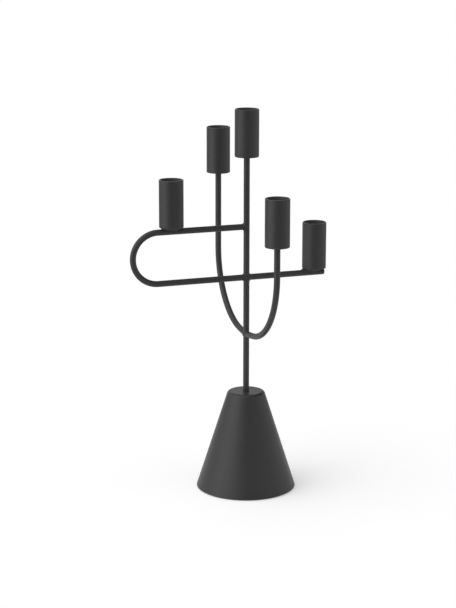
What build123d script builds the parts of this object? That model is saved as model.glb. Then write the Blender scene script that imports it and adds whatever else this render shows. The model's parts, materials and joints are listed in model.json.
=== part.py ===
"""Tabletop candelabra: a weighted cone, a slim post, welded bent rod arms and tubular candle cups.

Millimetres. The origin is the middle of the felt's underside, where the post's axis meets the table.
+Z is up, +X runs along the loop's bars to the free bar end, and +Y points to the far arm.
"""

import os
from math import hypot, radians, sqrt, tan

from build123d import *

os.makedirs("parts", exist_ok=True)

# Candle cups
candle_diameter = 22.0
candle_clearance = 0.2
cup_wall = 1.4
cup_tube_length = 46.8
cup_floor_thickness = 2.0
cup_rim_rounding = 0.55
cup_foot_rounding = 0.8

# Rods of the tree
rod_diameter = 6.3
post_length = 247.1
bar_end_rounding = 1.5

# Loop and free bar, both in the XZ plane
lower_bar_on_post = 121.6
loop_bend_radius = 26.55
loop_straight = 95.8
loop_cup_setback = 14.5
free_bar_length = 86.8
free_cup_setback = 11.4

# Far and near arms, both in the YZ plane
arm_weld_on_post = 61.0
arm_reach = 85.6
arm_rise = 7.0
arm_bend_radius = 75.5
far_leg_length = 80.0
near_leg_length = 31.1

# Welds
weld_root_gap = 0.3
weld_side_cover = 0.35
weld_throat = 1.7
cup_ring_weld_leg = 1.2
cup_seat_gap = 1.3
cup_bar_weld_length = 23.0
cup_bar_weld_radius = 3.6
cup_bar_weld_drop = 1.6

# Weighted base
base_height = 104.1
base_bottom_diameter = 104.0
base_top_diameter = 38.2
base_shoulder_radius = 3.6
shell_wall = 1.2
shell_rim_rounding = 0.4
shell_rim_lift = 1.0
felt_thickness = 2.0
felt_edge_gap = 0.5
ballast_height = 28.0
ballast_clearance = 0.2
ballast_edge_radius = 2.0
nut_recess_diameter = 16.0
nut_recess_depth = 10.0

# Tie rod and its hardware
tie_rod_diameter = 4.0
tie_rod_thread_engagement = 12.0
tie_rod_end_protrusion = 1.5
tapped_hole_spare_depth = 2.0
thread_clearance = 0.1
clearance_hole_diameter = 4.5
nut_across_flats = 7.0
nut_height = 3.2
washer_diameter = 9.0
washer_thickness = 0.8
lock_washer_diameter = 7.6
lock_washer_thickness = 0.9
lock_washer_slit = 0.8

# Values that follow from the sizes above
rod_radius = rod_diameter / 2
cup_bore_radius = (candle_diameter + candle_clearance) / 2
cup_radius = cup_bore_radius + cup_wall
post_top = base_height + post_length
lower_bar_height = base_height + lower_bar_on_post
upper_bar_height = lower_bar_height + 2 * loop_bend_radius
arm_weld_height = base_height + arm_weld_on_post
arm_bend_angle = 90 - arm_rise
arm_corner_height = arm_weld_height + arm_reach * tan(radians(arm_rise))
arm_bend_end_height = arm_corner_height + arm_bend_radius * tan(radians(arm_bend_angle / 2))
far_arm_top = arm_bend_end_height + far_leg_length
near_arm_top = arm_bend_end_height + near_leg_length
bar_cup_lift = rod_radius + cup_seat_gap

rim_radius = base_bottom_diameter / 2
top_radius = base_top_diameter / 2
cone_height = base_height - shell_rim_lift
cone_slope = (rim_radius - top_radius) / cone_height
wall_across = shell_wall * hypot(1, cone_slope)
tie_rod_radius = tie_rod_diameter / 2
thread_hole_radius = (tie_rod_diameter + thread_clearance) / 2
clearance_hole_radius = clearance_hole_diameter / 2
nut_recess_top = felt_thickness + nut_recess_depth
ballast_top = felt_thickness + ballast_height
shell_ceiling = base_height - shell_wall
stack_height = washer_thickness + lock_washer_thickness + nut_height
tie_rod_bottom = nut_recess_top - stack_height - tie_rod_end_protrusion
tie_rod_top = base_height + tie_rod_thread_engagement

# Each cup by the point under the middle of its floor
cup_seats = {
    "post_cup": (0, 0, post_top),
    "far_arm_cup": (0, arm_reach, far_arm_top),
    "near_arm_cup": (0, -arm_reach, near_arm_top),
    "loop_cup": (-(loop_straight - loop_cup_setback), 0, upper_bar_height + bar_cup_lift),
    "free_bar_cup": (free_bar_length - free_cup_setback, 0, lower_bar_height + bar_cup_lift),
}
stem_cups = ("post_cup", "far_arm_cup", "near_arm_cup")
bar_cups = ("loop_cup", "free_bar_cup")

# The seats under the shell's top and in the ballast's recess that the washers bear on
washer_seats = (shell_ceiling, nut_recess_top)


def save(part, label):
    """Label a finished piece and write it under that name."""
    part.label = label
    export_step(part, f"parts/{label}.step")


def shell_inside_radius(height):
    """Radius of the cone's inner wall at a height above the table."""
    return rim_radius - (height - shell_rim_lift) * cone_slope - wall_across


def cope(height):
    """Cut a rod's end to saddle round the post, a weld's root gap away from it."""
    with Locations((0, 0, height)):
        Cylinder(rod_radius + weld_root_gap, 4 * rod_diameter, mode=Mode.SUBTRACT)


def bent_arm(side, top):
    """Rod that leaves the post on a slight rise and bends up into a vertical leg."""
    with BuildPart() as arm:
        with BuildLine(Plane.YZ) as route:
            FilletPolyline(
                (0, arm_weld_height),
                (side * arm_reach, arm_corner_height),
                (side * arm_reach, top),
                radius=arm_bend_radius,
            )
        with BuildSketch(Plane(route.wire() @ 0, z_dir=route.wire() % 0)):
            Circle(rod_radius)
        sweep()
        cope(arm_weld_height)
    return arm.part


def spheroid(middle, axis, half_length, radius):
    """Weld metal as a spheroid about an axis, before the pieces that it joins are cut from it."""
    across = Vector(0, 1, 0).cross(axis)
    with BuildPart() as bead:
        with BuildSketch(Plane(middle, x_dir=axis, z_dir=axis.cross(across))):
            Ellipse(half_length, radius)
            with Locations((0, -radius)):
                Rectangle(2 * half_length, 2 * radius, mode=Mode.SUBTRACT)
        revolve(axis=Axis(middle, axis))
    return bead.part


# Post: a straight rod, tapped at its foot
with BuildPart() as post:
    with BuildSketch(Plane.XY.offset(base_height)):
        Circle(rod_radius)
    extrude(amount=post_length)
    with BuildSketch(Plane.XY.offset(base_height)):
        Circle(thread_hole_radius)
    extrude(amount=tie_rod_thread_engagement + tapped_hole_spare_depth, mode=Mode.SUBTRACT)
save(post.part, "post")

# Loop: a hairpin rod with both ends coped to the post
with BuildPart() as loop_arm:
    with BuildLine(Plane.XZ):
        upper = Line((0, upper_bar_height), (-loop_straight, upper_bar_height))
        bend = JernArc(upper @ 1, upper % 1, loop_bend_radius, 180)
        Line(bend @ 1, (0, lower_bar_height))
    with BuildSketch(Plane(upper @ 0, z_dir=upper % 0)):
        Circle(rod_radius)
    sweep()
    cope(upper_bar_height)
    cope(lower_bar_height)
save(loop_arm.part, "loop_arm")

# Free bar: the lower bar's continuation past the post
with BuildPart() as free_bar:
    with BuildSketch(Plane((0, 0, lower_bar_height), x_dir=(0, 1, 0), z_dir=(1, 0, 0))):
        Circle(rod_radius)
    extrude(amount=free_bar_length)
    fillet(free_bar.faces().sort_by(Axis.X)[-1].edges(), bar_end_rounding)
    cope(lower_bar_height)
save(free_bar.part, "free_bar")

# Far and near arms
far_arm = bent_arm(1, far_arm_top)
near_arm = bent_arm(-1, near_arm_top)
save(far_arm, "far_arm")
save(near_arm, "near_arm")

# Cups: a cut tube standing on a floor disc
for label, seat in cup_seats.items():
    with BuildPart() as cup_floor:
        with BuildSketch(Plane(seat)):
            Circle(cup_radius)
        extrude(amount=cup_floor_thickness)
        fillet(cup_floor.faces().sort_by(Axis.Z)[0].edges(), cup_foot_rounding)
    save(cup_floor.part, f"{label}_floor")

    with BuildPart() as cup_tube:
        with BuildSketch(Plane(seat).offset(cup_floor_thickness)):
            Circle(cup_radius)
            Circle(cup_bore_radius, mode=Mode.SUBTRACT)
        extrude(amount=cup_tube_length)
        fillet(cup_tube.faces().sort_by(Axis.Z)[-1].edges(), cup_rim_rounding)
    save(cup_tube.part, f"{label}_tube")

# Arm welds: a bead round each coped end, whose waist starts at the sides of the post
bead_radius = rod_radius + weld_side_cover
bead_offset = sqrt(bead_radius**2 - rod_radius**2)
bead_half_height = rod_radius + weld_throat
arm_joints = (
    (-1, 0, upper_bar_height, loop_arm.part),
    (-1, 0, lower_bar_height, loop_arm.part),
    (1, 0, lower_bar_height, free_bar.part),
    (0, 1, arm_weld_height, far_arm),
    (0, -1, arm_weld_height, near_arm),
)
with BuildPart() as arm_welds:
    for along_x, along_y, height, arm in arm_joints:
        middle = Vector(along_x * bead_offset, along_y * bead_offset, height)
        bead = spheroid(middle, Vector(0, 0, 1), bead_half_height, bead_radius)
        add(bead - arm - post.part)
save(arm_welds.part, "arm_welds")

# Cup welds: a ring fillet under each cup on a stem, a bead along the bar under the others
with BuildPart() as cup_welds:
    for label in stem_cups:
        with BuildSketch(Plane(cup_seats[label], x_dir=(1, 0, 0), z_dir=(0, -1, 0))):
            with BuildLine():
                Line((rod_radius, -cup_ring_weld_leg), (rod_radius, 0))
                Line((rod_radius, 0), (rod_radius + cup_ring_weld_leg, 0))
                CenterArc(
                    (rod_radius + cup_ring_weld_leg, -cup_ring_weld_leg),
                    cup_ring_weld_leg,
                    90,
                    90,
                )
            make_face()
        revolve(axis=Axis(cup_seats[label], (0, 0, 1)))
    for label, bar in zip(bar_cups, (loop_arm.part, free_bar.part)):
        seat = Vector(*cup_seats[label])
        middle = seat - Vector(0, 0, cup_bar_weld_drop)
        bead = spheroid(middle, Vector(1, 0, 0), cup_bar_weld_length / 2, cup_bar_weld_radius)
        add(split(bead, Plane(seat), keep=Keep.BOTTOM, mode=Mode.PRIVATE) - bar)
save(cup_welds.part, "cup_welds")

# Base shell: a spun cone of even wall with a rounded shoulder and a trimmed rim
with BuildPart() as base_shell:
    with BuildSketch(Plane.XZ):
        with BuildLine():
            skin = FilletPolyline(
                (clearance_hole_radius, base_height),
                (top_radius, base_height),
                (rim_radius + shell_wall * cone_slope, shell_rim_lift - shell_wall),
                radius=base_shoulder_radius,
            )
            offset(skin, amount=shell_wall, side=Side.RIGHT)
        make_face()
    revolve(axis=Axis.Z)
    split(bisect_by=Plane.XY.offset(shell_rim_lift))
    fillet(base_shell.edges().group_by(Axis.Z)[0], shell_rim_rounding)
save(base_shell.part, "base_shell")

# Ballast: a casting that fits the cone, with a recess below for the nut
with BuildPart() as ballast:
    with BuildSketch(Plane.XZ):
        with BuildLine():
            Polyline(
                (nut_recess_diameter / 2, felt_thickness),
                (shell_inside_radius(felt_thickness) - ballast_clearance, felt_thickness),
                (shell_inside_radius(ballast_top) - ballast_clearance, ballast_top),
                (clearance_hole_radius, ballast_top),
                (clearance_hole_radius, nut_recess_top),
                (nut_recess_diameter / 2, nut_recess_top),
                close=True,
            )
        make_face()
    revolve(axis=Axis.Z)
    top_rim = ballast.faces().sort_by(Axis.Z)[-1].edges().sort_by(SortBy.RADIUS)[-1]
    fillet(top_rim, ballast_edge_radius)
save(ballast.part, "ballast")

# Felt: a disc bonded to the ballast, standing a little below the rim
with BuildPart() as felt_pad:
    with BuildSketch():
        Circle(shell_inside_radius(shell_rim_lift) - felt_edge_gap)
    extrude(amount=felt_thickness)
save(felt_pad.part, "felt_pad")

# Tie rod: a stud from the post's foot down through the ballast
with BuildPart() as tie_rod:
    with BuildSketch(Plane.XY.offset(tie_rod_bottom)):
        Circle(tie_rod_radius)
    extrude(amount=tie_rod_top - tie_rod_bottom)
save(tie_rod.part, "tie_rod")

# Hardware: a washer, a lock washer and a nut at each seat
with BuildPart() as flat_washers:
    for seat in washer_seats:
        with BuildSketch(Plane.XY.offset(seat - washer_thickness)):
            Circle(washer_diameter / 2)
            Circle(clearance_hole_radius, mode=Mode.SUBTRACT)
        extrude(amount=washer_thickness)
save(flat_washers.part, "flat_washers")

with BuildPart() as lock_washers:
    for seat in washer_seats:
        with BuildSketch(Plane.XY.offset(seat - washer_thickness - lock_washer_thickness)):
            Circle(lock_washer_diameter / 2)
            Circle(thread_hole_radius, mode=Mode.SUBTRACT)
            with Locations((lock_washer_diameter / 2, 0)):
                Rectangle(lock_washer_diameter, lock_washer_slit, mode=Mode.SUBTRACT)
        extrude(amount=lock_washer_thickness)
save(lock_washers.part, "lock_washers")

with BuildPart() as tie_rod_nuts:
    for seat in washer_seats:
        with BuildSketch(Plane.XY.offset(seat - stack_height)):
            RegularPolygon(nut_across_flats / 2, 6, major_radius=False)
            Circle(thread_hole_radius, mode=Mode.SUBTRACT)
        extrude(amount=nut_height)
save(tie_rod_nuts.part, "tie_rod_nuts")
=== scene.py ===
"""Looks of a tabletop candelabra in black powder-coated steel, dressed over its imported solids.

Metres, in the frame of the solids: the origin is under the middle of the felt, +Z is up and +Y points
away from the photograph's viewer.
"""

import json
import math
import random

import bmesh
import bpy
from mathutils import Matrix, Quaternion, Vector


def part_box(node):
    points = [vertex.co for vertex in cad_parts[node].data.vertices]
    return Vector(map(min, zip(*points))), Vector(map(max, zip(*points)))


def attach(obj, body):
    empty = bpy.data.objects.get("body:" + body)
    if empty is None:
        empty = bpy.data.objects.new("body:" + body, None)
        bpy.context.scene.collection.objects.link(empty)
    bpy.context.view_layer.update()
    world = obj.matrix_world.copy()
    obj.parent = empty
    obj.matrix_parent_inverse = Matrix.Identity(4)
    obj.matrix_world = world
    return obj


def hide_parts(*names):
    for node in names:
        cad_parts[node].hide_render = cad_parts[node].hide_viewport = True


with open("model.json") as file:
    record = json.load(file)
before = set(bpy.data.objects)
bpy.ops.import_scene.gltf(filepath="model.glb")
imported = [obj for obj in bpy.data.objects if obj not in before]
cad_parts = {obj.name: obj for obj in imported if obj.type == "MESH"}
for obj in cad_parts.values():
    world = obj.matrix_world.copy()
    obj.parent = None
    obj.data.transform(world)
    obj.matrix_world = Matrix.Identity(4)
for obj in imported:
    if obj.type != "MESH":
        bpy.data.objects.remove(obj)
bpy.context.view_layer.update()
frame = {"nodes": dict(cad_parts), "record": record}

MM = 0.001
WHITE = (1, 1, 1, 1)

# Working tolerances: for merging doubles, picking what lies at a level, finding sharp edges and smoothing
MERGE_DISTANCE = 0.002 * MM
PICK_TOLERANCE = 0.01 * MM
SHARP_ANGLE = math.radians(45)
SMOOTHING = {"factor": 0.5, "repeat": 2}

# Rods and cups: which rod ends under a cup, and which bar runs below one
ROD_RADIUS = 3.15 * MM
STEM_CUPS = {"post_cup": "post", "far_arm_cup": "far_arm", "near_arm_cup": "near_arm"}
BAR_CUPS = {"loop_cup": "loop_arm", "free_bar_cup": "free_bar"}
CUP_WALL = 1.4 * MM

# Zones of the cups drawn paler than the rest of the coat, partly for a thin dry coat and rubbed rims,
# partly as painted light and a painted highlight: each ends softly, a little beside the surface that it
# covers
RIM_BAND = 0.35 * MM
ZONE_GAP = 0.1 * MM
ZONE_BLEND = 0.25 * MM

# Welds of the arms: the way each arm leaves the post, its height there, and the arm
ARM_JOINTS = (
    (Vector((-1, 0, 0)), 278.8 * MM, "loop_arm"),
    (Vector((-1, 0, 0)), 225.7 * MM, "loop_arm"),
    (Vector((1, 0, 0)), 225.7 * MM, "free_bar"),
    (Vector((0, 1, 0)), 165.1 * MM, "far_arm"),
    (Vector((0, -1, 0)), 165.1 * MM, "near_arm"),
)
ARM_BEAD_RADIUS = 3.5 * MM
ARM_BEAD_HALF_HEIGHT = 4.85 * MM
ARM_BEAD_OFFSET = 1.526 * MM
ARM_BEAD_RIPPLES = 14
ARM_BEAD_SIDES = 24

# Welds of the cups: a ring round each stem, and a run along each bar from left to right of the cup's axis
RING_BEAD_RADIUS = 1.0 * MM
RING_BEAD_INSET = 0.2 * MM
RING_BEAD_RIPPLES = 16
RING_BEAD_SIDES = 20
BAR_BEAD_RADIUS = 3.6 * MM
BAR_BEAD_DROP = 1.6 * MM
BAR_BEAD_RUNS = {"loop_cup": (-11 * MM, 12 * MM), "free_bar_cup": (-14.5 * MM, 11 * MM)}
BAR_BEAD_RIPPLES = 12
BAR_BEAD_SIDES = 40
BEAD_CLIMB = 0.5 * MM
TRIM_BLOCK = 40 * MM

# Ripples of all beads: steps in one ripple, the share of it that is lifted, by how much, and how unevenly
RIPPLE_STEPS = 4
RIPPLE_CREST = (0.2, 0.6)
RIPPLE_HEIGHT = 0.16 * MM
RIPPLE_SPREAD = (0.4, 1.6)
RIPPLE_SEED = 7

# Tie rod and its hardware, M4
PITCH = 0.7 * MM
THREAD_RADIUS = 2.0 * MM
THREAD_DEPTH = 0.429 * MM
THREAD_STEPS = 24
THREAD_FIT = 0.05 * MM
CREST_FLAT = PITCH / 8
ROOT_FLAT = PITCH / 4
TIE_ROD_CHAMFER = 0.5 * MM
TIE_ROD_BLANK_SHARE = 1.02
TIE_ROD_BLANK_SIDES = 48
WASHER_SEATS = (102.9 * MM, 12.0 * MM)
CLEARANCE_HOLE_RADIUS = 2.25 * MM
WASHER_RADIUS = 4.5 * MM
WASHER_THICKNESS = 0.8 * MM
WASHER_ROUNDING = 0.1 * MM
WASHER_STEPS = 72
LOCK_WASHER_HOLE_RADIUS = 2.05 * MM
LOCK_WASHER_RADIUS = 3.8 * MM
LOCK_WASHER_THICKNESS = 0.9 * MM
LOCK_WASHER_SLIT = 0.8 * MM
LOCK_WASHER_ROUNDING = 0.09 * MM
LOCK_WASHER_STEPS = 60
ROUNDING_SEGMENTS = 3
NUT_ACROSS_FLATS = 7.0 * MM
NUT_HEIGHT = 3.2 * MM
NUT_CHAMFER = 0.35 * MM
NUT_FACE_SHARE = 0.86
NUT_BLANK_GAP = 0.02 * MM
NUT_BLANK_OVERRUN = 1.05
NUT_BLANK_SIDES = 72

# Felt under the ballast
FELT_SIDES = 180
FELT_RINGS = 9
FELT_EDGE_ROUNDING = 0.7 * MM
FELT_EDGE_SEGMENTS = 4
FELT_UNEVENNESS = 0.10 * MM
FELT_UNEVEN_SHARE = 0.97
FELT_SEED = 11

# Powder coat: the lumps of its patterns, the depths of its relief and its tones
PEEL_CELL = 1.7 * MM
PEEL_DEPTH = 0.11 * MM
GRAIN_CELL = 0.32 * MM
GRAIN_DEPTH = 0.025 * MM
GLOSS_CELL = 38 * MM
COAT_DARKEST = (0.022, 0.022, 0.0223)
COAT_PALEST = (0.072, 0.072, 0.073)

# Raw casting, in the same order
SAND_CELL = 0.9 * MM
SAND_DEPTH = 0.16 * MM
HOLLOW_CELL = 5.5 * MM
HOLLOW_DEPTH = 0.35 * MM
RUST_CELL = 14 * MM
IRON_DARKEST = (0.055, 0.054, 0.053)
IRON_PALEST = (0.13, 0.128, 0.124)
RUST_TONE = (0.10, 0.05, 0.028)

# Zinc plate
LINE_CELL = 0.9 * MM
LINE_DEPTH = 0.010 * MM
LINE_SQUEEZE = (1, 1, 9)
CLOUD_CELL = 2.6 * MM
ZINC_DARKEST = (0.50, 0.51, 0.53)
ZINC_PALEST = (0.63, 0.63, 0.64)

# Pressed felt
FIBRE_ANGLES = (12, 58, 101, 149)
FIBRE_CELL = 2.4 * MM
FIBRE_DEPTH = 0.45 * MM
FIBRE_SQUEEZE = (1, 8, 1)
CLUMP_CELL = 3.2 * MM
CLUMP_DEPTH = 0.5 * MM
FIBRE_END_CELL = 0.45 * MM
FELT_DARKEST = (0.007, 0.007, 0.0075)
FELT_PALEST = (0.050, 0.050, 0.052)

# Broad lights of the room: azimuth from the camera's own, elevation, strength
ROOM_LIGHTS = (
    (-150, 0, 0.56),
    (-90, 0, 0.81),
    (-60, 0, 1.54),
    (-30, 0, 0.35),
    (30, 0, 0.44),
    (60, 0, 0.50),
    (90, 0, 0.73),
    (120, 0, 0.57),
    (180, 0, 1.00),
    (-135, 45, 0.43),
    (-90, 45, 0.90),
    (-45, 45, 1.65),
    (45, 45, 0.29),
    (0, 90, 0.93),
)

# Each of them fades between its core and its edge, by the angle from its middle
LIGHT_EDGE = math.cos(math.radians(40))
LIGHT_CORE = math.cos(math.radians(5))

# Floor paper: its size, the glow that it shows, and where it starts and ends running out into white
FLOOR_SIZE = 1.1
FLOOR_LIFT = 0.31
FLOOR_RUN_OUT = (0.10, 0.50)
PAPER_CELL = 3 * MM
PAPER_DARKEST = (0.78, 0.78, 0.78)
PAPER_PALEST = (0.82, 0.82, 0.82)

# Camera, fitted to the photograph's silhouette
CAMERA_AZIMUTH = -20.7272
CAMERA_ELEVATION = 13.106
CAMERA_DISTANCE = 1.8961289
CAMERA_YAW = 0.5894
CAMERA_PITCH = 0.1123
CAMERA_ROLL = 0.0657
CAMERA_LENS = 108.331
CAMERA_SENSOR = 36.0
AIM = Vector((0, 0, 0.201))


class Wire:
    """A node's output. Arithmetic on it adds Math nodes to the finish that it belongs to."""

    def __init__(self, finish, socket):
        self.finish = finish
        self.socket = socket

    def math(self, operation, first, second):
        """A Math node on two wires, or on a wire and a number."""
        return self.finish.node("ShaderNodeMath", {"operation": operation}, {0: first, 1: second})

    def __add__(self, other):
        return self.math("ADD", self, other)

    def __radd__(self, other):
        return self.math("ADD", other, self)

    def __sub__(self, other):
        return self.math("SUBTRACT", self, other)

    def __rsub__(self, other):
        return self.math("SUBTRACT", other, self)

    def __mul__(self, other):
        return self.math("MULTIPLY", self, other)

    def __rmul__(self, other):
        return self.math("MULTIPLY", other, self)


class Finish:
    """The node tree of a material or of the world."""

    def __init__(self, owner):
        owner.use_nodes = True
        self.tree = owner.node_tree
        self.tree.nodes.clear()

    def node(self, kind, settings=None, sockets=None, output=0):
        """Add a node, set it up, fill or link its sockets, and give back one of its outputs."""
        made = self.tree.nodes.new(kind)
        for name, value in (settings or {}).items():
            setattr(made, name, value)
        for name, value in (sockets or {}).items():
            if isinstance(value, Wire):
                self.tree.links.new(value.socket, made.inputs[name])
            else:
                made.inputs[name].default_value = value
        return Wire(self, made.outputs[output]) if made.outputs else None

    def place(self):
        """The point of the piece that is drawn, in the object's own frame."""
        return self.node("ShaderNodeTexCoord", output="Object")

    def moved(self, place, **sockets):
        """The same point scaled, turned and shifted, in that order."""
        return self.node("ShaderNodeMapping", {"vector_type": "POINT"}, {"Vector": place, **sockets})

    def squeezed(self, place, squeeze):
        """The same point with each of its axes multiplied, so that a pattern there gets narrower."""
        return self.moved(place, Scale=squeeze)

    def turned(self, place, angle):
        """The same point turned about the Z axis."""
        return self.moved(place, Rotation=(0, 0, math.radians(angle)))

    def reach(self, place):
        """How far a point lies from the origin."""
        return self.node("ShaderNodeVectorMath", {"operation": "LENGTH"}, {0: place}, "Value")

    def noise(self, place, cell, detail=2.0, curl=0.0):
        """Cloudy noise from 0 to 1 whose lumps are about one cell across."""
        sockets = {"Vector": place, "Scale": 1 / cell, "Detail": detail, "Distortion": curl}
        return self.node("ShaderNodeTexNoise", {}, sockets)

    def step(self, value, low, high):
        """A soft step of a value, 0 below low and 1 above high."""
        settings = {"interpolation_type": "SMOOTHSTEP"}
        sockets = {"Value": value, "From Min": low, "From Max": high}
        return self.node("ShaderNodeMapRange", settings, sockets)

    def between(self, mask, low, high):
        """A colour that goes from low, which may vary itself, to high with the mask."""
        sockets = {0: mask, 6: low if isinstance(low, Wire) else (*low, 1), 7: (*high, 1)}
        return self.node("ShaderNodeMix", {"data_type": "RGBA"}, sockets, output=2)

    def bump(self, height, depth, normal=None):
        """A bent normal for a relief of that depth."""
        sockets = {"Height": height, "Distance": depth, "Strength": 1.0}
        if normal is not None:
            sockets["Normal"] = normal
        return self.node("ShaderNodeBump", {}, sockets)

    def ray(self, kind):
        """1 on rays of that kind, 0 on all others."""
        return self.node("ShaderNodeLightPath", output=f"Is {kind} Ray")

    def surface(self, **sockets):
        """Close the tree with a principled surface."""
        named = {name.replace("_", " "): value for name, value in sockets.items()}
        shader = self.node("ShaderNodeBsdfPrincipled", {}, named)
        self.node("ShaderNodeOutputMaterial", {}, {"Surface": shader})


def new_finish(name):
    """An empty material and the finish that draws it."""
    material = bpy.data.materials.new(name)
    return material, Finish(material)


def cup_zones(finish, place, cup):
    """Masks of a cup's inside, where the coat is thin and dry and is drawn paler as painted light on its
    shaded walls, and of its rim, which candles rub smooth and which is drawn paler as a painted highlight.
    """
    low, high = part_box(f"{cup}_tube")
    middle = (low + high) / 2
    radius = (high.x - low.x) / 2
    bore_edge = radius - CUP_WALL + ZONE_GAP
    cup_edge = radius + ZONE_GAP
    floor_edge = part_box(f"{cup}_floor")[1].z - ZONE_GAP
    reach = finish.reach(finish.moved(place, Location=(-middle.x, -middle.y, 0), Scale=(1, 1, 0)))
    height = finish.node("ShaderNodeSeparateXYZ", {}, {0: place}, "Z")
    in_bore = 1 - finish.step(reach, bore_edge, bore_edge + ZONE_BLEND)
    above_floor = finish.step(height, floor_edge - ZONE_BLEND, floor_edge)
    in_cup = 1 - finish.step(reach, cup_edge, cup_edge + ZONE_BLEND)
    at_rim = finish.step(height, high.z - RIM_BAND, high.z - RIM_BAND + ZONE_BLEND)
    return in_bore * above_floor * (1 - at_rim), in_cup * at_rim


def black_powder_coat():
    """Satin black powder coat: a fine orange peel, a matt grain and a slow drift of gloss.

    It is dry and rougher inside the cups, and paler there, partly as a thin dry coat and partly as painted
    light on the shaded inner walls; on their rims it is rubbed smooth and paler, partly as wear and partly
    as a painted highlight.
    """
    material, finish = new_finish("black_powder_coat")
    place = finish.place()
    peel = finish.noise(place, PEEL_CELL)
    grain = finish.noise(place, GRAIN_CELL)
    drift = finish.noise(place, GLOSS_CELL)
    dry_coat_and_painted_light = 0.0
    rubbed_rim_and_painted_highlight = 0.0
    for cup in (*STEM_CUPS, *BAR_CUPS):
        inside, rim = cup_zones(finish, place, cup)
        dry_coat_and_painted_light = dry_coat_and_painted_light + inside
        rubbed_rim_and_painted_highlight = rubbed_rim_and_painted_highlight + rim
    # Paler inside the cups: partly a thin dry coat, partly painted light that brightens the shaded inner
    # walls.
    # Paler on the rims: partly wear from candles, partly a painted highlight along the lip.
    tone = 0.13 * drift + 0.11 * grain + 0.70 * dry_coat_and_painted_light + 0.30 * rubbed_rim_and_painted_highlight
    relief = finish.bump(peel, PEEL_DEPTH)
    finish.surface(
        Base_Color=finish.between(tone, COAT_DARKEST, COAT_PALEST),
        Roughness=0.355 + 0.10 * drift + 0.08 * grain + 0.15 * dry_coat_and_painted_light - 0.15 * rubbed_rim_and_painted_highlight,
        Specular_IOR_Level=0.35,
        Normal=finish.bump(grain, GRAIN_DEPTH, relief),
    )
    return material


def raw_casting():
    """Grey iron as it leaves the sand: a coarse skin with darker hollows and a little rust."""
    material, finish = new_finish("raw_iron_casting")
    place = finish.place()
    sand = finish.noise(place, SAND_CELL, detail=4.0)
    hollows = finish.noise(place, HOLLOW_CELL)
    rust = finish.step(finish.noise(place, RUST_CELL, detail=5.0), low=0.55, high=0.75)
    iron = finish.between(0.6 * sand + 0.4 * hollows, IRON_DARKEST, IRON_PALEST)
    finish.surface(
        Base_Color=finish.between(0.5 * rust, iron, RUST_TONE),
        Metallic=0.75 - 0.65 * rust,
        Roughness=0.58 + 0.22 * sand,
        Normal=finish.bump(sand, SAND_DEPTH, finish.bump(hollows, HOLLOW_DEPTH)),
    )
    return material


def zinc_plate():
    """Bright zinc on steel hardware: fine drawn lines and a faint cloudiness."""
    material, finish = new_finish("zinc_plated_steel")
    place = finish.place()
    lines = finish.noise(finish.squeezed(place, LINE_SQUEEZE), LINE_CELL, detail=3.0)
    cloud = finish.noise(place, CLOUD_CELL)
    finish.surface(
        Base_Color=finish.between(cloud, ZINC_DARKEST, ZINC_PALEST),
        Metallic=1.0,
        Roughness=0.26 + 0.12 * cloud + 0.08 * lines,
        Normal=finish.bump(lines, LINE_DEPTH),
    )
    return material


def pressed_felt():
    """Black pressed wool: curly fibres that cross each other, in clumps, with paler ends here and there."""
    material, finish = new_finish("pressed_black_felt")
    place = finish.place()
    fibres = 0.0
    for angle in FIBRE_ANGLES:
        along = finish.squeezed(finish.turned(place, angle), FIBRE_SQUEEZE)
        strand = finish.noise(along, FIBRE_CELL, detail=3.0, curl=1.2)
        fibres = strand.math("MAXIMUM", fibres, strand)
    clumps = finish.noise(place, CLUMP_CELL, detail=3.0, curl=0.6)
    ends = finish.step(finish.noise(place, FIBRE_END_CELL, detail=1.0), low=0.58, high=0.74)
    tone = 0.9 * finish.step(fibres, low=0.45, high=0.80) + 0.35 * clumps + 0.30 * ends - 0.25
    finish.surface(
        Base_Color=finish.between(tone, FELT_DARKEST, FELT_PALEST),
        Roughness=0.93,
        Sheen_Weight=0.35,
        Sheen_Roughness=0.5,
        Normal=finish.bump(fibres, FIBRE_DEPTH, finish.bump(clumps, CLUMP_DEPTH)),
    )
    return material


def only(*pieces):
    """Select these objects and nothing else, the last of them as the active one."""
    bpy.ops.object.select_all(action="DESELECT")
    for piece in pieces:
        piece.select_set(True)
    bpy.context.view_layer.objects.active = pieces[-1]


def mode(name):
    """Go into or out of edit mode."""
    bpy.ops.object.mode_set(mode=name)


def pick(piece, kind, test):
    """In edit mode, select the vertices, edges or faces whose middle passes the test."""
    bpy.ops.mesh.select_mode(type=kind)
    bpy.ops.mesh.select_all(action="DESELECT")
    mesh = bmesh.from_edit_mesh(piece.data)
    for part in {"VERT": mesh.verts, "EDGE": mesh.edges, "FACE": mesh.faces}[kind]:
        corners = [part] if kind == "VERT" else part.verts
        if test(sum((corner.co for corner in corners), Vector()) / len(corners)):
            part.select_set(True)
    mesh.select_flush_mode()
    bmesh.update_edit_mesh(piece.data)


def resize(across_x, across_y, along_z):
    """In edit mode, multiply the size of what is selected, seen from the origin."""
    bpy.ops.transform.resize(value=(across_x, across_y, along_z), center_override=(0, 0, 0))


def clean_up(piece):
    """Merge doubles and turn all faces outwards."""
    only(piece)
    mode("EDIT")
    bpy.ops.mesh.select_all(action="SELECT")
    bpy.ops.mesh.remove_doubles(threshold=MERGE_DISTANCE)
    bpy.ops.mesh.normals_make_consistent(inside=False)
    mode("OBJECT")


def put(piece, spot, axes=Matrix.Identity(3)):
    """Turn and move a piece that was shaped at the origin, and keep that in its mesh."""
    piece.matrix_world = Matrix.Translation(spot) @ axes.to_4x4()
    only(piece)
    bpy.ops.object.transform_apply(location=True, rotation=True, scale=True)


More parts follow.
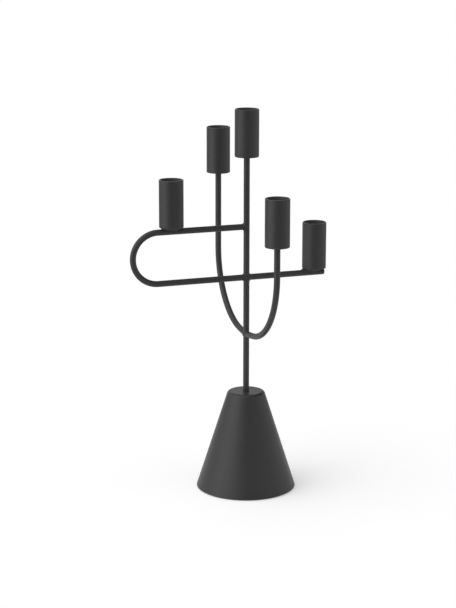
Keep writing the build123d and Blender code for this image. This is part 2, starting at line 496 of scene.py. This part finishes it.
def boolean(piece, operation, other):
    """Cut a piece with another solid, or keep what the two share."""
    cut = piece.modifiers.new("cut", "BOOLEAN")
    cut.operation = operation
    cut.solver = "EXACT"
    cut.object = other
    only(piece)
    bpy.ops.object.modifier_apply(modifier=cut.name)


def round_edges(piece, rounding):
    """Round all sharp edges of a piece."""
    only(piece)
    mode("EDIT")
    bpy.ops.mesh.select_all(action="DESELECT")
    bpy.ops.mesh.edges_select_sharp(sharpness=SHARP_ANGLE)
    bpy.ops.mesh.bevel(offset=rounding, segments=ROUNDING_SEGMENTS, affect="EDGES")
    mode("OBJECT")


def throw_away(*pieces):
    """Remove pieces that were only tools for others."""
    for piece in pieces:
        bpy.data.objects.remove(piece)


def copy_of(piece):
    """A second piece with a mesh of its own."""
    twin = piece.copy()
    twin.data = piece.data.copy()
    bpy.context.collection.objects.link(twin)
    return twin


def cutter_from(node):
    """A merged copy of a rod or a cup's floor, to trim the beads with."""
    cutter = copy_of(frame["nodes"][node])
    clean_up(cutter)
    return cutter


def saw_ends(piece, low, high):
    """Saw a piece off level at two heights and close both cuts."""
    only(piece)
    mode("EDIT")
    for height, above in ((low, False), (high, True)):
        bpy.ops.mesh.select_all(action="SELECT")
        bpy.ops.mesh.bisect(
            plane_co=(0, 0, height),
            plane_no=(0, 0, 1),
            clear_outer=above,
            clear_inner=not above,
        )
    bpy.ops.mesh.select_all(action="SELECT")
    bpy.ops.mesh.remove_doubles(threshold=MERGE_DISTANCE)
    bpy.ops.mesh.fill_holes(sides=0)
    mode("OBJECT")
    clean_up(piece)


def trim_under_cup(bead, seat, floor):
    """Take off what the cup's floor fills, and what stands above the bead's climb on its rounded edge."""
    boolean(bead, "DIFFERENCE", floor)
    spot = seat + Vector((0, 0, TRIM_BLOCK / 2 + BEAD_CLIMB))
    bpy.ops.object.select_all(action="DESELECT")
    bpy.ops.mesh.primitive_cube_add(size=TRIM_BLOCK, location=spot)
    above = bpy.context.object
    put(above, spot)
    boolean(bead, "DIFFERENCE", above)
    throw_away(above)


def paint(piece, material):
    """Give a piece this one material."""
    piece.data.materials.clear()
    piece.data.materials.append(material)


def finished(name, pieces, material, node, smooth_angle=40):
    """Join the pieces that stand for one node of the frame, dress them and let them ride."""
    only(*pieces)
    if len(pieces) > 1:
        bpy.ops.object.join()
    whole = bpy.context.object
    clean_up(whole)
    bpy.ops.object.shade_smooth_by_angle(angle=math.radians(smooth_angle))
    whole.name = name
    whole.data.name = name
    paint(whole, material)
    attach(whole, "root")
    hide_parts(node)
    return whole


def raise_ripples(piece, phase, ripples, dice):
    """Lift the ripples that the weld pool leaves along a bead, no two alike, and let them run together."""
    start, end = RIPPLE_CREST
    for ripple in range(ripples):
        pick(piece, "VERT", lambda place: start < phase(place) * ripples - ripple < end)
        bpy.ops.transform.shrink_fatten(value=RIPPLE_HEIGHT * dice.uniform(*RIPPLE_SPREAD))
    bpy.ops.mesh.select_all(action="SELECT")
    bpy.ops.mesh.vertices_smooth(**SMOOTHING)


def around(place):
    """How far round the Z axis a point lies, from 0 to 1."""
    return (math.atan2(place.y, place.x) / math.tau) % 1


def down(place):
    """How far down from the top of a drawn-out ball a point lies, by angle, from 0 to 1."""
    return math.acos(max(-1, min(1, place.z))) / math.pi


def arm_bead(way, height, arm, cutters, dice):
    """The bead that runs round an arm's coped end, trimmed by the arm and the post."""
    bpy.ops.object.select_all(action="DESELECT")
    bpy.ops.mesh.primitive_uv_sphere_add(
        segments=ARM_BEAD_RIPPLES * RIPPLE_STEPS,
        ring_count=ARM_BEAD_SIDES,
        radius=1,
        enter_editmode=True,
    )
    bead = bpy.context.object
    resize(ARM_BEAD_HALF_HEIGHT, ARM_BEAD_RADIUS, ARM_BEAD_RADIUS)
    raise_ripples(bead, around, ARM_BEAD_RIPPLES, dice)
    mode("OBJECT")
    up = Vector((0, 0, 1))
    put(bead, way * ARM_BEAD_OFFSET + up * height, Matrix((up, way.cross(up), way)).transposed())
    boolean(bead, "DIFFERENCE", cutters[arm])
    boolean(bead, "DIFFERENCE", cutters["post"])
    return bead


def cup_seat(cup):
    """The point under the middle of a cup's floor."""
    low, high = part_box(f"{cup}_floor")
    return Vector(((low.x + high.x) / 2, (low.y + high.y) / 2, low.z))


def ring_bead(cup, stem, cutters, dice):
    """The bead that runs round a stem under its cup."""
    seat = cup_seat(cup)
    bpy.ops.object.select_all(action="DESELECT")
    bpy.ops.mesh.primitive_torus_add(
        major_segments=RING_BEAD_RIPPLES * RIPPLE_STEPS,
        minor_segments=RING_BEAD_SIDES,
        major_radius=ROD_RADIUS + RING_BEAD_INSET,
        minor_radius=RING_BEAD_RADIUS,
    )
    bead = bpy.context.object
    mode("EDIT")
    raise_ripples(bead, around, RING_BEAD_RIPPLES, dice)
    mode("OBJECT")
    put(bead, seat - Vector((0, 0, RING_BEAD_INSET)))
    boolean(bead, "DIFFERENCE", cutters[stem])
    trim_under_cup(bead, seat, cutters[f"{cup}_floor"])
    return bead


def bar_bead(cup, bar, cutters, dice):
    """The bead that runs along a bar under its cup."""
    seat = cup_seat(cup)
    start, end = BAR_BEAD_RUNS[cup]
    half_length = (end - start) / 2
    bpy.ops.object.select_all(action="DESELECT")
    bpy.ops.mesh.primitive_uv_sphere_add(
        segments=BAR_BEAD_SIDES,
        ring_count=BAR_BEAD_RIPPLES * RIPPLE_STEPS,
        radius=1,
        enter_editmode=True,
    )
    bead = bpy.context.object
    resize(BAR_BEAD_RADIUS, BAR_BEAD_RADIUS, half_length)
    raise_ripples(bead, lambda place: down(place / half_length), BAR_BEAD_RIPPLES, dice)
    mode("OBJECT")
    middle = seat + Vector(((start + end) / 2, 0, -BAR_BEAD_DROP))
    put(bead, middle, Matrix.Rotation(math.pi / 2, 3, "Y"))
    boolean(bead, "DIFFERENCE", cutters[bar])
    trim_under_cup(bead, seat, cutters[f"{cup}_floor"])
    return bead


def weld_beads(material):
    """All weld beads, each trimmed by the rods that it joins."""
    dice = random.Random(RIPPLE_SEED)
    joined = ["post", "loop_arm", "free_bar", "far_arm", "near_arm"]
    joined += [f"{cup}_floor" for cup in (*STEM_CUPS, *BAR_CUPS)]
    cutters = {node: cutter_from(node) for node in joined}
    arm_beads = [arm_bead(way, height, arm, cutters, dice) for way, height, arm in ARM_JOINTS]
    cup_beads = [ring_bead(cup, stem, cutters, dice) for cup, stem in STEM_CUPS.items()]
    cup_beads += [bar_bead(cup, bar, cutters, dice) for cup, bar in BAR_CUPS.items()]
    throw_away(*cutters.values())
    finished("arm_weld_beads", arm_beads, material, "arm_welds")
    finished("cup_weld_beads", cup_beads, material, "cup_welds")


def thread(low, high, growth=0.0):
    """A closed length of M4 thread about the Z axis, in step with every other length of it."""
    first_turn = math.floor(low / PITCH) - 1
    turns = math.ceil(high / PITCH) + 1 - first_turn
    bpy.ops.object.select_all(action="DESELECT")
    bpy.ops.mesh.primitive_plane_add(size=PITCH, enter_editmode=True)
    body = bpy.context.object
    pick(body, "VERT", lambda place: place.x < 0 or place.y < 0)
    bpy.ops.mesh.delete(type="VERT")
    bpy.ops.mesh.select_all(action="SELECT")
    crest = THREAD_RADIUS + growth
    bpy.ops.transform.translate(value=(crest - PITCH / 2, -PITCH / 2, first_turn * PITCH))
    flank = (PITCH - CREST_FLAT - ROOT_FLAT) / 2
    outline = ((0, CREST_FLAT), (-THREAD_DEPTH, flank), (0, ROOT_FLAT), (THREAD_DEPTH, flank))
    for outwards, upwards in outline:
        bpy.ops.mesh.extrude_region_move(TRANSFORM_OT_translate={"value": (outwards, 0, upwards)})
    mode("OBJECT")
    screw = body.modifiers.new("turns", "SCREW")
    screw.axis = "Z"
    screw.angle = math.tau
    screw.screw_offset = PITCH
    screw.iterations = turns
    screw.steps = THREAD_STEPS
    screw.render_steps = THREAD_STEPS
    only(body)
    bpy.ops.object.modifier_apply(modifier=screw.name)
    clean_up(body)
    saw_ends(body, low, high)
    return body


def tie_rod(material):
    """The threaded stud with its chamfered ends."""
    low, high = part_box("tie_rod")
    stud = thread(low.z - PITCH, high.z + PITCH)
    bpy.ops.object.select_all(action="DESELECT")
    length = high.z - low.z
    spot = (0, 0, (low.z + high.z) / 2)
    bpy.ops.mesh.primitive_cylinder_add(
        vertices=TIE_ROD_BLANK_SIDES,
        radius=TIE_ROD_BLANK_SHARE * THREAD_RADIUS,
        depth=length,
        location=spot,
    )
    blank = bpy.context.object
    mode("EDIT")
    pick(blank, "EDGE", lambda place: abs(abs(place.z) - length / 2) < PICK_TOLERANCE)
    bpy.ops.mesh.bevel(offset=TIE_ROD_CHAMFER, segments=1, affect="EDGES")
    mode("OBJECT")
    put(blank, spot)
    boolean(stud, "INTERSECT", blank)
    throw_away(blank)
    finished("threaded_tie_rod", [stud], material, "tie_rod", smooth_angle=30)


def hex_nut(low):
    """A hexagon nut with chamfered corners and a thread in step with the tie rod's."""
    middle = (0, 0, low + NUT_HEIGHT / 2)
    corner_radius = NUT_ACROSS_FLATS / math.sqrt(3)
    bpy.ops.object.select_all(action="DESELECT")
    bpy.ops.mesh.primitive_cylinder_add(
        vertices=6,
        radius=corner_radius,
        depth=NUT_HEIGHT,
        location=middle,
        rotation=(0, 0, math.pi / 2),
    )
    nut = bpy.context.object
    put(nut, middle, Matrix.Rotation(math.pi / 2, 3, "Z"))

    # A turned blank whose ends taper in to the round face of the nut
    bpy.ops.object.select_all(action="DESELECT")
    straight = NUT_HEIGHT - 2 * NUT_CHAMFER
    bpy.ops.mesh.primitive_cylinder_add(
        vertices=NUT_BLANK_SIDES,
        radius=corner_radius - NUT_BLANK_GAP,
        depth=straight,
        enter_editmode=True,
    )
    blank = bpy.context.object
    for side in (-1, 1):
        pick(blank, "FACE", lambda place: side * place.z > straight / 2 - PICK_TOLERANCE)
        rise = (0, 0, side * NUT_BLANK_OVERRUN * NUT_CHAMFER)
        bpy.ops.mesh.extrude_region_move(TRANSFORM_OT_translate={"value": rise})
        bpy.ops.transform.resize(value=(NUT_FACE_SHARE, NUT_FACE_SHARE, 1))
    mode("OBJECT")
    put(blank, middle)
    boolean(nut, "INTERSECT", blank)
    tap = thread(low - PITCH, low + NUT_HEIGHT + PITCH, THREAD_FIT)
    boolean(nut, "DIFFERENCE", tap)
    throw_away(blank, tap)
    return nut


def ring_profile(inner, outer, thickness):
    """A filled rectangle in the XZ plane, from one radius to the other, in edit mode."""
    bpy.ops.object.select_all(action="DESELECT")
    bpy.ops.mesh.primitive_plane_add(size=1, enter_editmode=True)
    profile = bpy.context.object
    resize(outer - inner, thickness, 1)
    bpy.ops.transform.rotate(value=math.pi / 2, orient_axis="X", center_override=(0, 0, 0))
    bpy.ops.transform.translate(value=((inner + outer) / 2, 0, 0))
    return profile


def flat_washer():
    """A stamped washer with its edges a little rounded, about the origin."""
    washer = ring_profile(CLEARANCE_HOLE_RADIUS, WASHER_RADIUS, WASHER_THICKNESS)
    bpy.ops.mesh.delete(type="ONLY_FACE")
    bpy.ops.mesh.select_all(action="SELECT")
    bpy.ops.mesh.spin(steps=WASHER_STEPS, angle=math.tau, center=(0, 0, 0), axis=(0, 0, 1))
    mode("OBJECT")
    clean_up(washer)
    round_edges(washer, WASHER_ROUNDING)
    return washer


def split_washer():
    """A spring washer with a slit on its +X side and rounded edges, about the origin."""
    slit_angle = LOCK_WASHER_SLIT / ((LOCK_WASHER_HOLE_RADIUS + LOCK_WASHER_RADIUS) / 2)
    washer = ring_profile(LOCK_WASHER_HOLE_RADIUS, LOCK_WASHER_RADIUS, LOCK_WASHER_THICKNESS)
    bpy.ops.mesh.select_all(action="SELECT")
    bpy.ops.mesh.spin(
        steps=LOCK_WASHER_STEPS,
        angle=math.tau - slit_angle,
        center=(0, 0, 0),
        axis=(0, 0, 1),
    )
    mode("OBJECT")
    clean_up(washer)
    round_edges(washer, LOCK_WASHER_ROUNDING)
    put(washer, Vector(), Matrix.Rotation(slit_angle / 2, 3, "Z"))
    return washer


def hardware(material):
    """A washer, a lock washer and a nut under each of the two seats."""
    washers = []
    lock_washers = []
    nuts = []
    washer = flat_washer()
    lock_washer = split_washer()
    for seat in WASHER_SEATS:
        washers.append(copy_of(washer))
        put(washers[-1], (0, 0, seat - WASHER_THICKNESS / 2))
        lock_washers.append(copy_of(lock_washer))
        lock_top = seat - WASHER_THICKNESS
        put(lock_washers[-1], (0, 0, lock_top - LOCK_WASHER_THICKNESS / 2))
        nuts.append(hex_nut(lock_top - LOCK_WASHER_THICKNESS - NUT_HEIGHT))
    throw_away(washer, lock_washer)
    finished("stamped_washers", washers, material, "flat_washers")
    finished("spring_washers", lock_washers, material, "lock_washers")
    finished("hexagon_nuts", nuts, material, "tie_rod_nuts", smooth_angle=25)


def felt_disc(material):
    """The cut felt: a soft rounded edge and a slightly uneven face."""
    low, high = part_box("felt_pad")
    radius = (high.x - low.x) / 2
    thickness = high.z - low.z
    bpy.ops.object.select_all(action="DESELECT")
    bpy.ops.mesh.primitive_cylinder_add(
        vertices=FELT_SIDES,
        radius=radius,
        depth=thickness,
        enter_editmode=True,
    )
    disc = bpy.context.object
    pick(disc, "EDGE", lambda place: abs(abs(place.z) - thickness / 2) < PICK_TOLERANCE)
    bpy.ops.mesh.bevel(offset=FELT_EDGE_ROUNDING, segments=FELT_EDGE_SEGMENTS, affect="EDGES")
    for side in (-1, 1):
        pick(disc, "FACE", lambda place: side * place.z > thickness / 2 - PICK_TOLERANCE)
        for _ in range(FELT_RINGS):
            bpy.ops.mesh.inset(thickness=radius / (FELT_RINGS + 1))
        bpy.ops.mesh.merge(type="CENTER")
    pick(disc, "VERT", lambda place: place.xy.length < FELT_UNEVEN_SHARE * radius)
    bpy.ops.transform.shrink_fatten(value=-FELT_UNEVENNESS)
    bpy.ops.transform.vertex_random(offset=FELT_UNEVENNESS, uniform=0, normal=1, seed=FELT_SEED)
    bpy.ops.mesh.vertices_smooth(**SMOOTHING)
    mode("OBJECT")
    put(disc, (0, 0, (low.z + high.z) / 2))
    felt = finished("felt_disc", [disc], material, "felt_pad", smooth_angle=60)


def direction(azimuth, elevation):
    """Unit vector from the object to a point seen at that azimuth from -Y and that elevation."""
    turn = math.radians(azimuth)
    rise = math.radians(elevation)
    return Vector((math.sin(turn) * math.cos(rise), -math.cos(turn) * math.cos(rise), math.sin(rise)))


def floor_paper():
    """White paper that keeps a soft shadow near the object and runs out into plain white."""
    material, finish = new_finish("floor_paper")
    place = finish.place()
    fibre = finish.noise(place, PAPER_CELL)
    reach = finish.reach(place)

    # Its glow and its white show to the camera, in gloss and in glass, and cast no light
    seen = finish.ray("Camera") + finish.ray("Glossy") + finish.ray("Transmission")
    tone = finish.between(fibre, PAPER_DARKEST, PAPER_PALEST)
    paper = finish.node("ShaderNodeBsdfDiffuse", {}, {"Color": tone})
    lift = finish.node("ShaderNodeEmission", {}, {"Color": WHITE, "Strength": seen * FLOOR_LIFT})
    near = finish.node("ShaderNodeAddShader", {}, {0: paper, 1: lift})
    white = finish.node("ShaderNodeEmission", {}, {"Color": WHITE, "Strength": 1.0})
    far = seen * finish.step(reach, *FLOOR_RUN_OUT)
    both = finish.node("ShaderNodeMixShader", {}, {0: far, 1: near, 2: white})
    finish.node("ShaderNodeOutputMaterial", {}, {"Surface": both})
    return material


def facing(finish, towards, azimuth, elevation):
    """How squarely a ray of the room points at a place, which is given from the camera's own azimuth."""
    spot = direction(CAMERA_AZIMUTH + azimuth, elevation)
    return finish.node("ShaderNodeVectorMath", {"operation": "DOT_PRODUCT"}, {0: towards, 1: spot}, "Value")


def studio():
    """Floor, and a room of broad soft lights with a dark side behind the camera and a white sweep."""
    bpy.ops.mesh.primitive_plane_add(size=FLOOR_SIZE)
    floor = bpy.context.object
    floor.name = "floor"
    floor.data.materials.append(floor_paper())

    world = bpy.data.worlds.new("studio")
    bpy.context.scene.world = world
    finish = Finish(world)
    towards = finish.node("ShaderNodeTexCoord", output="Generated")
    light = 0.0
    for azimuth, elevation, strength in ROOM_LIGHTS:
        glow = finish.step(facing(finish, towards, azimuth, elevation), LIGHT_EDGE, LIGHT_CORE)
        light = light + strength * glow
    room = finish.node("ShaderNodeBackground", {}, {"Color": WHITE, "Strength": light})

    # The white sweep: all that the camera sees, and what gloss and glass show of it
    behind = finish.step(facing(finish, towards, 180, 0), LIGHT_EDGE, LIGHT_CORE)
    sweep = finish.ray("Camera") + (finish.ray("Glossy") + finish.ray("Transmission")) * behind
    backdrop = finish.node("ShaderNodeBackground", {}, {"Color": WHITE, "Strength": 1.0})
    shown = finish.node("ShaderNodeMixShader", {}, {0: sweep, 1: room, 2: backdrop})
    finish.node("ShaderNodeOutputWorld", {}, {"Surface": shown})


def photo_camera():
    """The camera that took the photograph."""
    back = direction(CAMERA_AZIMUTH + CAMERA_YAW, CAMERA_ELEVATION + CAMERA_PITCH)
    turn = (-back).to_track_quat("-Z", "Y") @ Quaternion((0, 0, 1), math.radians(CAMERA_ROLL))
    place = AIM + direction(CAMERA_AZIMUTH, CAMERA_ELEVATION) * CAMERA_DISTANCE
    bpy.ops.object.camera_add(location=place, rotation=turn.to_euler())
    camera = bpy.context.object
    camera.data.lens = CAMERA_LENS
    camera.data.sensor_width = CAMERA_SENSOR
    bpy.context.scene.camera = camera


def dress(material, slot):
    """Give all solids of one slot of the frame their finish."""
    for part in frame["record"]["subparts"]:
        if part["material_slot"] == slot:
            paint(frame["nodes"][part["node"]], material)


coat = black_powder_coat()
zinc = zinc_plate()
felt_wool = pressed_felt()
dress(coat, "black_coat")
dress(raw_casting(), "cast_iron")
dress(zinc, "zinc_steel")
dress(felt_wool, "felt")
weld_beads(coat)
tie_rod(zinc)
hardware(zinc)
felt_disc(felt_wool)
studio()
photo_camera()
bpy.context.scene.view_settings.view_transform = "Standard"
